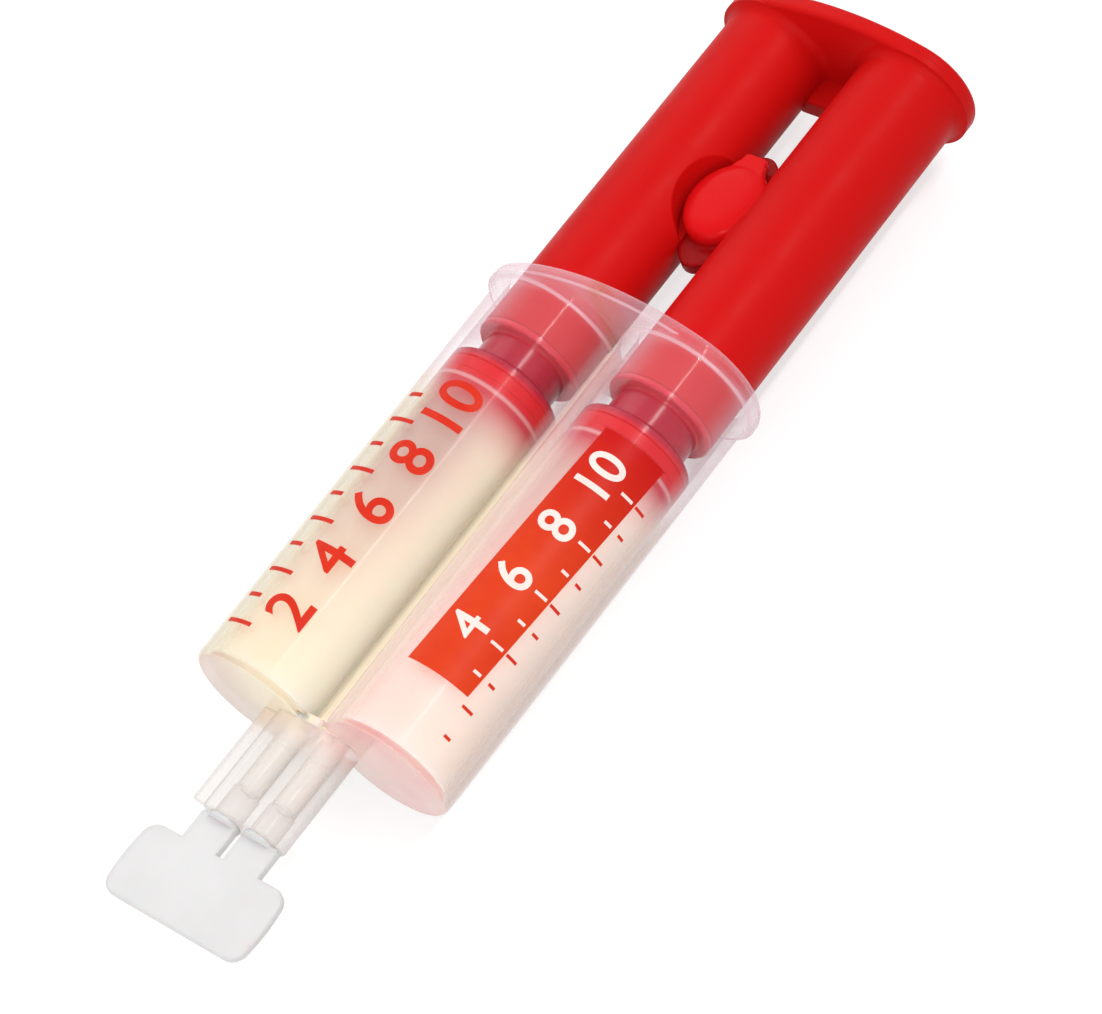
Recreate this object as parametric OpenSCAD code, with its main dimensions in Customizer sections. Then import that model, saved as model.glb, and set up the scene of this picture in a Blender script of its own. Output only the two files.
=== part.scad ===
// Twin-barrel epoxy syringe, lying flat: +X toward the nozzle, +Z up, millimetres.
// The origin is below the middle of its length, on the surface that the finger flange touches.

/* [Barrels] */
// Bore of each barrel
bore_d = 17; // [14:0.1:20]
// Wall of a barrel at its nozzle end
barrel_wall = 1; // [0.7:0.1:1.4]
// How much the outside of a barrel grows in radius toward the flange
barrel_draft = 0.45; // [0:0.05:0.6]
// Gap between the two barrels at the flange, where they are widest
barrel_gap = 2.4; // [1.6:0.1:3.2]
// Front face of the barrels to the front face of the flange
barrel_len = 66.7; // [62:0.1:80]
// Thickness of the wall that closes a barrel's front end
end_wall = 1.2; // [0.8:0.1:2]
// Rounding of a barrel's front edge
end_round = 0.9; // [0.3:0.1:1.4]
// Thickness of the web that joins the barrels
web_t = 1.4; // [0.8:0.1:2.5]

/* [Finger flange] */
// How far the flange stands out past the barrels to the left and right
flange_side = 0.9; // [0.5:0.1:6]
// How far the flange stands out past the barrels above and below
flange_rise = 3.55; // [2:0.05:6]
// How much larger the radius of the flange's two ends is than a barrel's
flange_end_grow = 1.05; // [0:0.05:1.6]
// Thickness of the flange
flange_t = 2; // [1.5:0.1:3]
// Lead-in chamfer of the two bores at the flange's rear face
lead_in = 0.4; // [0.1:0.1:0.8]

/* [Outlet nozzle] */
// Half width of the nozzle block
nozzle_half_w = 6.7; // [6.2:0.1:8]
// Half height of the nozzle block
nozzle_half_h = 2.8; // [2.6:0.1:3.6]
// Length of the nozzle block
nozzle_len = 15.7; // [12:0.1:22]
// Bore of each outlet channel
channel_d = 3.6; // [3:0.1:3.7]
// Distance between the two channel axes
channel_pitch = 6; // [5.6:0.1:6.4]
// Bore of each channel's wider mouth, where a plug seats
mouth_d = 4; // [3.8:0.1:4.2]
// Depth of each mouth, which is empty
mouth_depth = 4.4; // [2:0.1:8]
// Wall between a channel's blind end and the gap between the barrels
channel_back = 0.8; // [0.6:0.1:1.4]
// How far the keying rib stands out of the nozzle's left side
key_out = 2.3; // [1:0.1:3]
// Thickness of the keying rib
key_t = 1.2; // [0.8:0.1:2]
// How far the keying rib stops short of the nozzle's front face
key_short = 0.5; // [0:0.1:2]

/* [Break-off tab] */
// Length of the tab's flat, along the syringe
tab_len = 10.9; // [8:0.1:14]
// Half width of the tab's flat
tab_half_w = 12; // [9:0.1:15]
// How far the tab's two ends bow outward
tab_bow = 0.6; // [0.2:0.1:1.5]
// Corner radius of the tab
tab_corner_r = 2.2; // [1:0.1:3]
// Thickness of the tab
tab_t = 1.4; // [1:0.1:2]
// Length of the two necks between nozzle and tab
neck_len = 4.5; // [3:0.1:7]
// Half width over both necks
neck_half_w = 6.5; // [5.6:0.1:7]
// Width of the slot between the necks
neck_slot = 1.2; // [0.8:0.1:2]
// Thickness of the collar at the root of each neck
collar_t = 0.6; // [0.4:0.1:1]
// How far a collar overlaps the rim of its mouth
collar_lap = 0.35; // [0.2:0.05:0.5]

/* [Plunger] */
// Radial gap between a rod and the bore around it
rod_gap = 0.6; // [0.3:0.1:1.6]
// How much longer the rods are than the filled columns
rod_over = 7.7; // [5:0.1:20]
// Depth of the core in each rod, open at the piston end
core_depth = 18; // [10:0.5:19]
// Wall of a rod around its core
core_wall = 1.6; // [1:0.1:2.5]
// How far the thumb plate stands out past the rods to the left and right
plate_side = 1.35; // [0.5:0.05:6]
// How far the thumb plate stands out past the rods above and below
plate_rise = 2.9; // [1.5:0.1:4]
// How much larger the radius of the thumb plate's two ends is than a rod's
plate_end_grow = 1.1; // [0:0.05:1.4]
// Thickness of the thumb plate
plate_t = 2.6; // [2:0.1:4]
// Length of the web between the rods, at the thumb plate
rod_web_len = 4.6; // [2:0.1:8]
// Thickness of that web
rod_web_t = 3; // [2:0.1:4]
// Height of that web's top below the rod axes
rod_web_drop = 3; // [2:0.1:3.5]

/* [Pistons] */
// How far in front of the flange each filled column ends, at the sealing lip
fill_short = 13; // [10:0.1:20]
// Width of the sealing lip
lip_w = 1.5; // [1:0.1:2.5]
// Length of the neck behind the sealing lip
waist_len = 5; // [3:0.1:8]
// Depth of the neck behind the sealing lip, from the bore
waist_depth = 2.3; // [1.7:0.1:3.5]
// Thickness of the guide disc that rests on the rod
guide_t = 0.8; // [0.6:0.1:1.5]
// Length of the stem that plugs into the rod
stem_len = 8; // [5:0.5:9]
// Width of the dish between lip and nose, at the nose's flat front
dish_w = 2.45; // [1.6:0.05:4]
// Length that the nose stands in front of the lip
nose_len = 1.7; // [1:0.1:3]
// Depth of the dish between lip and nose
dish_depth = 0.9; // [0.4:0.1:1.2]
// Thickness of the sealing lip's free edge
lip_edge = 0.8; // [0.5:0.1:1.2]
// How much the nose widens toward its foot, in radius
nose_flare = 0.9; // [0.3:0.1:1.2]

/* [Stopper] */
// Thumb plate to the middle of the stopper's knob
stopper_at = 28.2; // [26:0.1:31]
// Half length of the stopper's oval knob
knob_half_l = 6.7; // [6:0.1:7.6]
// Half width of the knob
knob_half_w = 5.6; // [4.6:0.1:6]
// Height of the knob's top above the rod axes
knob_top = 4.3; // [3.6:0.1:6]
// Height of the knob's domed part
knob_dome = 1.5; // [0.8:0.1:2.4]
// How far the knob's domed part draws in toward its top, as a share
dome_share = 0.75; // [0.6:0.01:0.95]
// Half length of the stopper's base plate, between the rods
base_half_l = 10.3; // [9:0.1:11]
// Half width of the base plate's full oval
base_half_w = 4.6; // [4:0.1:6]
// Thickness of the base plate
base_t = 2; // [1.4:0.1:2.4]
// Length of the plugs under the base plate
stopper_plug_len = 4; // [3:0.1:6]
// Length of the pull tongue behind the knob
tongue_len = 1.6; // [1:0.1:4]
// Half width of the pull tongue
tongue_half_w = 1.9; // [1.4:0.1:3]
// Thickness of the pull tongue
tongue_t = 1.6; // [1.2:0.1:2.4]
// Height of the pull tongue's top above the rod axes
tongue_top = 3.5; // [3:0.1:4.5]
// Room between the knob and its seat in front and behind
seat_end = 1.6; // [1:0.1:2.4]
// Room between the knob and its seat to the left and right
seat_side = 0.6; // [0.3:0.1:1.2]

/* [Label and scale] */
// Length of the label
label_len = 40; // [30:0.5:44]
// Width of the label, as a chord of the barrel
label_chord = 9.2; // [6:0.1:11]
// Barrels' front faces to the middle of the label
label_x = 31.2; // [28:0.1:34]
// Angle of the label's middle from straight up, toward the right
label_angle = 28; // [0:1:40]
// How far the label is turned on the barrel
label_skew = 3.2; // [-4:0.1:4]
// Thickness of the label and of the printed marks
print_t = 0.12; // [0.08:0.01:0.2]
// Volume of each full column, in the units that the scale marks
full_volume = 12; // [10:1:16]
// Number of marks, one to each unit
mark_count = 10; // [6:1:10]
// Width of a mark, along the barrel
mark_w = 0.6; // [0.4:0.1:1]
// Length of a long mark, as a chord of the barrel
mark_long = 4.6; // [3:0.1:6]
// Length of a short mark, as a chord of the barrel
mark_short = 2.6; // [1.5:0.1:4]
// Angle of the marks' outer end from straight up, toward the left
mark_angle = 34; // [0:1:45]

/* [Hidden] */
$fn = 64;
// Curves that are drawn point by point have this many steps to a quarter turn
arc_steps = 12;
// Overrun of every cut past the face that it opens
over = 1;
// Radial clearance of the pistons, of their stems and of the stopper's plugs
run_gap = 0.05;
// Gap between a fluid and the walls that hold it
fluid_gap = 0.05;
// Gap between the tab's collars and the nozzle face, where the tab snaps off
snap_gap = 0.05;
// Gap between the stopper and the rods that hold it
seat_gap = 0.2;
// Gap between the printed film and the barrel under it
print_gap = 0.02;

left = -1;
right = 1;
front_r = bore_d / 2 + barrel_wall;
rear_r = front_r + barrel_draft;
barrel_pitch = 2 * rear_r + barrel_gap;
barrel_y = barrel_pitch / 2;
channel_y = channel_pitch / 2;
flange_rear = -barrel_len - flange_t;
flange_half_w = barrel_y + rear_r + flange_side;
flange_half_h = rear_r + flange_rise;
flange_end_r = rear_r + flange_end_grow;
tab_root = nozzle_len + neck_len;
lip_front = fill_short - barrel_len;
fill_len = -end_wall - lip_front;
rod_front = lip_front - lip_w - waist_len - guide_t;
rod_r = bore_d / 2 - rod_gap;
plate_front = rod_front - fill_len - rod_over;
plate_half_w = barrel_y + rod_r + plate_side;
plate_half_h = rod_r + plate_rise;
plate_end_r = rod_r + plate_end_grow;
rod_web_front = plate_front + rod_web_len;
piston_r = bore_d / 2 - run_gap;
waist_r = bore_d / 2 - waist_depth;
nose_r = piston_r - lip_edge - dish_w;
core_r = rod_r - core_wall;
unit_len = fill_len / full_volume;
// The stroke ends where the rod web meets the flange
stroke = flange_rear - rod_web_front - seat_gap;
// The base plate fits between the rods at the height of their axes
base_room = barrel_y - rod_r - seat_gap;
seat_floor = base_t / 2 - seat_gap;
stopper_x = plate_front + stopper_at;
origin_x = (tab_root + tab_len + plate_front - plate_t) / 2;
echo(stroke = stroke, origin_x = origin_x);

// Places a shape that is drawn from the barrels' front faces and the rod axes
module placed() {
    translate([-origin_x, 0, flange_half_h]) children();
}

// Turns a shape drawn along +Z to lie along +X
module along_x() {
    rotate([0, 90, 0]) children();
}

// A cylinder along +X from x0 to x1, or a cone where r1 is given
module bar(x0, x1, r0, y = 0, r1 = undef) {
    translate([x0, y, 0]) along_x() cylinder(h = x1 - x0, r1 = r0, r2 = is_undef(r1) ? r0 : r1);
}

// A block that is centred on y and z
module block(x0, x1, y, width, z, height) {
    translate([x0, y - width / 2, z - height / 2]) cube([x1 - x0, width, height]);
}

// Points of an arc round (cx, cy), without its last one, where the next stretch of the outline starts
function arc(cx, cy, r, from, to) = [
    for (i = [0:arc_steps - 1])
        let (a = from + (to - from) * i / arc_steps) [cx + r * cos(a), cy + r * sin(a)]
];

// An oval with round ends of radius end_r, and long sides that bow out to half_h
function bowed_oval(half_w, half_h, end_r) =
    let (
        reach = half_w - end_r,
        side_r = (reach * reach + half_h * half_h - end_r * end_r) / (2 * (half_h - end_r)),
        drop = side_r - half_h,
        meet = atan2(drop, reach)
    )
    concat(
        arc(reach, 0, end_r, -meet, meet),
        arc(0, -drop, side_r, meet, 180 - meet),
        arc(-reach, 0, end_r, 180 - meet, 180 + meet),
        arc(0, drop, side_r, 180 + meet, 360 - meet)
    );

// An upright oval block, which may draw in toward its top
module oval(height, half_l, half_w, top_share = 1) {
    scale([half_l, half_w, 1]) cylinder(h = height, r1 = 1, r2 = top_share);
}

// A flat plate across the syringe, x0 to x1, with its outline given as [y, z] points
module cross_plate(x0, x1, points) {
    translate([x0, 0, 0]) rotate([90, 0, 90]) linear_extrude(height = x1 - x0) polygon(points);
}

// One barrel: a drafted tube, closed at the front but for the passage into its channel
module barrel(side) {
    y = side * barrel_y;
    difference() {
        translate([0, y, 0]) along_x() rotate_extrude() polygon(concat(
            [[0, 0]],
            arc(front_r - end_round, -end_round, end_round, 90, 0),
            [[front_r, -end_round], [rear_r, -barrel_len], [0, -barrel_len]]
        ));
        bar(-barrel_len - over, -end_wall, bore_d / 2, y);
        passage(side);
    }
}

// The opening from a barrel into its channel, where the two bores overlap
module passage(side, shrink = 0) {
    intersection() {
        bar(-end_wall - over, channel_back + over, channel_d / 2 - shrink, side * channel_y);
        bar(-end_wall - over, channel_back + over, bore_d / 2 - shrink, side * barrel_y);
    }
}

// The outside of both barrels, as a cutter for what lies between them
module barrel_outsides(grow = 0) {
    for (side = [left, right])
        bar(-barrel_len, 0, rear_r + grow, side * barrel_y, front_r + grow);
}

module left_barrel() { color("#e9dccb", 0.5) placed() barrel(left); }

module right_barrel() { color("#ecd9d2", 0.5) placed() barrel(right); }

// The flat web that joins the barrels along their whole length
module barrel_web() {
    color("#e6dccf", 0.6) placed() difference() {
        block(-barrel_len, 0, 0, barrel_pitch, 0, web_t);
        barrel_outsides();
    }
}

module finger_flange() {
    color("#ead9d6", 0.6) placed() difference() {
        cross_plate(flange_rear, -barrel_len, bowed_oval(flange_half_w, flange_half_h, flange_end_r));
        for (side = [left, right]) {
            bar(flange_rear - over, -barrel_len + over, bore_d / 2, side * barrel_y);
            bar(flange_rear, flange_rear + lead_in, bore_d / 2 + lead_in, side * barrel_y, bore_d / 2);
        }
    }
}

// The twin-channel nozzle with the rib that keys its cap to one way round
module outlet_nozzle() {
    round_y = nozzle_half_w - nozzle_half_h;
    color("#f1e8e2", 0.6) placed() difference() {
        union() {
            cross_plate(0, nozzle_len, concat(
                arc(round_y, 0, nozzle_half_h, -90, 90),
                arc(-round_y, 0, nozzle_half_h, 90, 270)
            ));
            block(0, nozzle_len - key_short, -(nozzle_half_w + key_out) / 2, nozzle_half_w + key_out, 0, key_t);
        }
        for (side = [left, right]) {
            bar(channel_back, nozzle_len, channel_d / 2, side * channel_y);
            bar(nozzle_len - mouth_depth, nozzle_len + over, mouth_d / 2, side * channel_y);
            passage(side);
        }
    }
}

// A film on a barrel: the shell of the drafted tube, cut by the children
module film(side) {
    y = side * barrel_y;
    intersection() {
        difference() {
            bar(-barrel_len, 0, rear_r + print_gap + print_t, y, front_r + print_gap + print_t);
            bar(-barrel_len - over, over, rear_r + print_gap, y, front_r + print_gap);
        }
        translate([0, y, 0]) children();
    }
}

// A strip that reaches from a barrel's axis past its wall, at an angle from straight up
module strip(x, angle, length, chord, skew = 0) {
    translate([x, 0, 0]) rotate([-angle, 0, 0]) rotate([0, 0, -skew])
        translate([-length / 2, -chord / 2, 0]) cube([length, chord, rear_r + over]);
}

module label_panel() {
    color("#e23a22") placed()
        film(right) strip(-label_x, label_angle, label_len, label_chord, label_skew);
}

// Plain volume marks along the left barrel, long and short by turns
module dose_scale() {
    color("#e23a22") placed() film(left)
        for (i = [0:mark_count - 1]) {
            length = i % 2 == 0 ? mark_long : mark_short;
            middle = mark_angle - asin((length / 2) / front_r);
            strip(-end_wall - (i + 1) * unit_len, -middle, mark_w, length);
        }
}

// One piston, turned about its rod's axis; its front is drawn first
module piston(side) {
    lip_rear = lip_front - lip_w;
    guide_front = rod_front + guide_t;
    translate([0, side * barrel_y, 0]) along_x() rotate_extrude() polygon([
        [0, lip_front + nose_len],
        [nose_r, lip_front + nose_len],
        [nose_r + nose_flare, lip_front - dish_depth],
        [piston_r - lip_edge - dish_depth / 2, lip_front - dish_depth],
        [piston_r - lip_edge, lip_front],
        [piston_r, lip_front],
        [piston_r, lip_rear],
        [waist_r, lip_rear - lip_w / 2],
        [waist_r, guide_front],
        [rod_r, guide_front],
        [rod_r, rod_front],
        [core_r - run_gap, rod_front],
        [core_r - run_gap, rod_front - stem_len],
        [0, rod_front - stem_len]
    ]);
}

module left_piston() { color("#c81f24") placed() piston(left); }

module right_piston() { color("#c81f24") placed() piston(right); }

// The fluid in one barrel, up to the front of its piston
module column(side) {
    g = fluid_gap;
    r = bore_d / 2 - g;
    translate([0, side * barrel_y, 0]) along_x() rotate_extrude() polygon([
        [0, -end_wall - g],
        [r, -end_wall - g],
        [r, lip_front + g],
        [piston_r - lip_edge, lip_front + g],
        [nose_r + nose_flare + g, lip_front + g],
        [nose_r + g, lip_front + nose_len + g],
        [0, lip_front + nose_len + g]
    ]);
}

// The fluid in one channel, from the passage up to the empty mouth
module thread(side) {
    g = fluid_gap;
    bar(channel_back + g, nozzle_len - mouth_depth, channel_d / 2 - g, side * channel_y);
    intersection() {
        passage(side, g);
        block(-end_wall, channel_back + g, 0, barrel_pitch, 0, channel_d);
    }
}

module resin_column() { color("#f6e6c6") placed() column(left); }

module hardener_column() { color("#f8e4d8") placed() column(right); }

module resin_thread() { color("#f6e6c6") placed() thread(left); }

module hardener_thread() { color("#f8e4d8") placed() thread(right); }

// Outline of the tab in plan, from its root: a rectangle with bowed ends and round corners
function tab_outline() =
    let (
        end_r = (pow(tab_len / 2, 2) + pow(tab_bow, 2)) / (2 * tab_bow),
        lean = asin((tab_len / 2 - tab_corner_r) / (end_r - tab_corner_r)),
        bow_y = tab_half_w - end_r,
        corner_y = bow_y + (end_r - tab_corner_r) * cos(lean),
        quarter = concat(
            arc(tab_len - tab_corner_r, corner_y, tab_corner_r, 0, 90 - lean),
            arc(tab_len / 2, bow_y, end_r, 90 - lean, 90 + lean),
            arc(tab_corner_r, corner_y, tab_corner_r, 90 + lean, 180),
            [[0, corner_y]]
        )
    )
    concat(quarter, [for (p = quarter) [tab_len - p[0], -p[1]]]);

// The tab that seals both channels and is snapped off before use
module break_off_tab() {
    neck_w = neck_half_w - neck_slot / 2;
    neck_y = neck_half_w - neck_w / 2;
    face = nozzle_len + snap_gap;
    color("#f2f0f0", 0.7) placed() {
        translate([tab_root, 0, -tab_t / 2]) linear_extrude(height = tab_t) polygon(tab_outline());
        for (side = [left, right]) {
            block(face, tab_root + tab_corner_r, side * neck_y, neck_w, 0, tab_t);
            bar(face, face + collar_t, mouth_d / 2 + collar_lap, side * channel_y);
        }
    }
}

// The oval seat that is cut down into both rods, with its floor just under the knob
module seat_cut() {
    translate([stopper_x, 0, seat_floor])
        oval(2 * rod_r, knob_half_l + seat_end, knob_half_w + seat_side);
}

// One plunger rod, cored from the piston end and cut for the stopper's seat
module rod(side) {
    y = side * barrel_y;
    difference() {
        bar(plate_front, rod_front, rod_r, y);
        bar(rod_front - core_depth, rod_front + over, core_r, y);
        seat_cut();
    }
}

module left_rod() { color("#d81e20") placed() rod(left); }

module right_rod() { color("#d81e20") placed() rod(right); }

// The web that ties the rods together in front of the thumb plate
module rod_web() {
    color("#b81a1e") placed() difference() {
        block(plate_front, rod_web_front, 0, barrel_pitch, -rod_web_drop - rod_web_t / 2, rod_web_t);
        for (side = [left, right])
            bar(plate_front - over, rod_web_front + over, rod_r, side * barrel_y);
    }
}

module thumb_plate() {
    color("#d81e20") placed()
        cross_plate(plate_front - plate_t, plate_front, bowed_oval(plate_half_w, plate_half_h, plate_end_r));
}

// The stopper that closes the nozzle again: knob, pull tongue, base plate and two plugs
module stopper_cap() {
    dome_foot = knob_top - knob_dome;
    base_top = base_t / 2;
    tongue_z = tongue_top - tongue_t / 2;
    color("#e0282a") placed() translate([stopper_x, 0, 0]) {
        intersection() {
            translate([0, 0, -base_top]) oval(base_t, base_half_l, base_half_w);
            block(-base_half_l, base_half_l, 0, 2 * base_room, 0, base_t);
        }
        translate([0, 0, base_top]) oval(dome_foot - base_top, knob_half_l, knob_half_w);
        translate([0, 0, dome_foot]) oval(knob_dome, knob_half_l, knob_half_w, dome_share);
        block(-knob_half_l - tongue_len, -knob_half_l / 2, 0, 2 * tongue_half_w, tongue_z, tongue_t);
        for (x = [-channel_y, channel_y])
            translate([x, 0, -base_top - stopper_plug_len])
                cylinder(h = stopper_plug_len, r = mouth_d / 2 - run_gap);
    }
}

left_barrel();
right_barrel();
barrel_web();
finger_flange();
outlet_nozzle();
label_panel();
dose_scale();
resin_column();
hardener_column();
resin_thread();
hardener_thread();
break_off_tab();
left_rod();
right_rod();
rod_web();
thumb_plate();
left_piston();
right_piston();
stopper_cap();
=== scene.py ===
"""Looks of the twin-barrel epoxy syringe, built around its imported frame.

Shapes are drawn in millimetres, with x = 0 at the barrels' front faces and z = 0 at the barrel axes,
and then moved into the frame by place().
"""
import math

import bmesh
import bpy
from mathutils import Matrix, Vector

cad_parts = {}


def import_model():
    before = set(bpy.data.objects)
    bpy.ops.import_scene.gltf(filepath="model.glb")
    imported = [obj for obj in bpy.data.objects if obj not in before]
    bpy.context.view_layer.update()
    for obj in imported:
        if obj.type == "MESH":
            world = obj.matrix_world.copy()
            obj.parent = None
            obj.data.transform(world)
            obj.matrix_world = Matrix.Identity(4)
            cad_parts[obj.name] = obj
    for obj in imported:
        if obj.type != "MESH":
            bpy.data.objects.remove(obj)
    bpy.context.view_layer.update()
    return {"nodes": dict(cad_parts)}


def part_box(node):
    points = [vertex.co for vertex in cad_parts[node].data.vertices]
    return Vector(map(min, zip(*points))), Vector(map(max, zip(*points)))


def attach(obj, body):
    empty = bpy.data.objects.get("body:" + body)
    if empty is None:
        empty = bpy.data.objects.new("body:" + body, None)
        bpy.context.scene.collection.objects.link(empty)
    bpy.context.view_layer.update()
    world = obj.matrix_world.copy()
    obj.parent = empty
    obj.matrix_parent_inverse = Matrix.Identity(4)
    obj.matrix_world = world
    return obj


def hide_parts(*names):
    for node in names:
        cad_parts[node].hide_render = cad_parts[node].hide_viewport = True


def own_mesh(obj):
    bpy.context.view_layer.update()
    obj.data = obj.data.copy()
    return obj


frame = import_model()

MM = 0.001
LEFT, RIGHT = -1, 1

# Places read from the frame
barrel_lo, barrel_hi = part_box("right_barrel")
FRONT_X = barrel_hi.x
AXIS_Z = (barrel_lo.z + barrel_hi.z) / 2
BARREL_Y = (barrel_lo.y + barrel_hi.y) / 2 / MM
REAR_R = (barrel_hi.y - barrel_lo.y) / 2 / MM


def span(node):
    """A CAD node's reach along the syringe, in the drawing's millimetres."""
    low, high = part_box(node)
    return (low.x - FRONT_X) / MM, (high.x - FRONT_X) / MM


BARREL_REAR = span("right_barrel")[0]
FLANGE_REAR = span("finger_flange")[0]
PLATE_REAR, PLATE_FRONT = span("thumb_plate")
ROD_FRONT = span("right_rod")[1]
NOZZLE_END = span("outlet_nozzle")[1]
TAB_START, TAB_END = span("break_off_tab")
COLUMN_REAR, COLUMN_FRONT = span("resin_column")
PISTON_NOSE = span("left_piston")[1]

# Barrels and flange
BORE_R, BORE_CORNER, BORE_LEAD = 8.5, 0.5, 0.5
FRONT_R = 9.5
END_WALL = 1.2
END_ROUND = 0.9
FLANGE_W, FLANGE_H, FLANGE_END_R = 22.0, 13.5, 11.0
FLANGE_ROUND = 0.8
FLANGE_FILLET, FLANGE_SUNK = 1.1, 0.9
WEB_HALF, WEB_SUNK, WEB_SHORT = 0.7, 0.5, 0.2
WALL_GAP = 0.04
CUT_PAST = 1.0      # how far a cut goes past the face that it opens

# Nozzle
NOZZLE_W, NOZZLE_H = 6.7, 2.8
NOZZLE_ROUND = 0.35
NOZZLE_ROOT = 1.1
CHANNEL_Y, CHANNEL_R = 3.0, 1.8
MOUTH_R, MOUTH_DEPTH = 2.0, 4.4
CHANNEL_BACK = 0.8
PASSAGE_Y, PASSAGE_W, PASSAGE_H = 3.72, 1.0, 1.3
PASSAGE_BACK, PASSAGE_FRONT = 0.5, 0.6
KEY_OUT, KEY_HALF, KEY_SHORT, KEY_SUNK = 2.3, 0.6, 0.5, 1.5
KEY_ROUND = 0.3
THREAD_TIP, THREAD_POINT = 0.5, 0.1

# Break-off tab
TAB_ROOT = 20.2
TAB_W, TAB_BOW, TAB_CORNER = 12.0, 0.6, 2.2
TAB_HALF, TAB_ROUND = 0.7, 0.45
NECK_W, NECK_SLOT, NECK_ROUND = 6.5, 0.6, 0.3
NECK_BACK, NECK_SUNK = 0.1, 1.5
COLLAR_R, COLLAR_T, COLLAR_ROUND = 2.35, 0.6, 0.2

# Plunger
ROD_R = 7.9
ROD_EDGE = 0.25
ROD_FILLET = 1.3
ROD_CORE_R, ROD_CORE_DEPTH = 6.3, 18.0
PLATE_W, PLATE_H, PLATE_END_R = 20.4, 10.8, 9.0
PLATE_ROUND = 0.7
ROD_WEB_LENGTH, ROD_WEB_TOP, ROD_WEB_LOW = 4.6, -3.0, -6.0
ROD_WEB_ROUND = 0.3
PLATE_SUNK = 1.0    # how far the rods and their web go into the plate

# Pistons
LIP_R, LIP_W, LIP_EDGE = 8.46, 1.5, 0.8
WAIST_R, GUIDE_T = 6.2, 0.8
NOSE_R, NOSE_LENGTH, NOSE_FLARE, DISH = 5.2, 1.7, 0.9, 0.9
STEM_LENGTH, STEM_GAP = 8.0, 0.05
PISTON_SOFT = 0.25
LIP_FRONT = PISTON_NOSE - NOSE_LENGTH
GUIDE_FRONT = ROD_FRONT + GUIDE_T

# Stopper
STOPPER_AT = 28.2
KNOB_L, KNOB_W, KNOB_TOP, KNOB_BROW = 6.7, 5.6, 4.3, 2.0
BASE_L, BASE_W, BASE_SIDE, BASE_HALF = 10.3, 4.6, 3.05, 1.0
KNOB_FLATNESS, KNOB_CLOSED, KNOB_SUNK = 0.66, 0.97, 0.2
SKIN_VOXEL, SKIN_PASSES = 0.15, 14      # how finely the stopper is fused, and how often it is eased
PLUG_LENGTH, PLUG_GAP, PLUG_ROUND = 4.0, 0.05, 0.4
TONGUE_LENGTH, TONGUE_W, TONGUE_TOP, TONGUE_T = 1.6, 1.9, 3.5, 1.6
TONGUE_CORNER, TONGUE_FLARE, TONGUE_FOOT = 0.8, 0.5, 1.4
SEAT_END, SEAT_SIDE, SEAT_FLOOR, SEAT_OPEN = 1.6, 0.6, 0.8, 3.0
STOPPER_X = PLATE_FRONT + STOPPER_AT

# Printing
LABEL_MIDDLE, LABEL_LENGTH = -31.2, 40.0
LABEL_REAR = LABEL_MIDDLE - LABEL_LENGTH / 2
LABEL_ANGLE, LABEL_HALF_ANGLE, LABEL_SKEW = 28.0, 28.0, 3.2
FILM_LIFT, FILM_THICKNESS = 0.1, 0.04
ON_LABEL_LIFT = FILM_LIFT + 0.06
MARK_STEP = 52.5 / 12
NUMERAL_HEIGHT, LABEL_NUMERAL_HEIGHT = 6.2, 5.0
NUMERAL_ANGLE, LABEL_NUMERAL_ANGLE = 14, 23
FONT_SIZE, NUMERAL_BOLD = 1.38, 0.02      # shares of a numeral's height
TICK_HALF, SHORT_TICK = 0.22, 0.6
LABEL_TICK_ANGLE, LABEL_TICK_LENGTH = 53, 1.9
FINE_TICK_ANGLE, FINE_TICK_LENGTH = 68, 1.8

# The camera, fitted to the photograph's edges: its place in the drawing's millimetres and its axes
CAMERA_AT = (117.1, 243.7, 348.0)
CAMERA_RIGHT = (-0.577, 0.773, -0.263)
CAMERA_FORWARD = (-0.354, -0.527, -0.773)
FOCAL_PIXELS, PHOTO_WIDTH = 3470.6, 1102


def place(mesh):
    """Moves a mesh from the drawing's millimetres into the frame."""
    mesh.transform(Matrix.Translation((FRONT_X, 0, AXIS_Z)) @ Matrix.Scale(MM, 4))
    mesh.update()


def arc(cx, cy, r, start, end, steps):
    """Points of an arc in degrees, without the last one."""
    return [(cx + r * math.cos(math.radians(start + (end - start) * i / steps)),
             cy + r * math.sin(math.radians(start + (end - start) * i / steps))) for i in range(steps)]


def quarter(steps, first=0):
    """The angles of a quarter turn in radians, from the given step on."""
    return [math.pi / 2 * i / steps for i in range(first, steps + 1)]


def flare(x, r, size):
    """A fillet that leaves the radius r at x and widens by size toward the rear."""
    return [(x - size * math.sin(a), r + size * (1 - math.cos(a))) for a in quarter(6, 1)]


def bowed_oval(half_w, half_h, end_r, steps=20):
    """An oval with round ends, and long sides that bow out to half_h."""
    reach = half_w - end_r
    side_r = (reach ** 2 + half_h ** 2 - end_r ** 2) / (2 * (half_h - end_r))
    drop = side_r - half_h
    meet = math.degrees(math.atan2(drop, reach))
    return (arc(reach, 0, end_r, -meet, meet, steps) + arc(0, -drop, side_r, meet, 180 - meet, 2 * steps)
            + arc(-reach, 0, end_r, 180 - meet, 180 + meet, steps)
            + arc(0, drop, side_r, 180 + meet, 360 - meet, 2 * steps))


def stadium(half_w, half_h, steps=24):
    """An outline with two straight long sides and round ends."""
    reach = half_w - half_h
    return arc(reach, 0, half_h, -90, 90, steps) + arc(-reach, 0, half_h, 90, 270, steps)


def ellipse(a, b, steps=96):
    return [(a * math.cos(math.tau * i / steps), b * math.sin(math.tau * i / steps)) for i in range(steps)]


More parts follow.
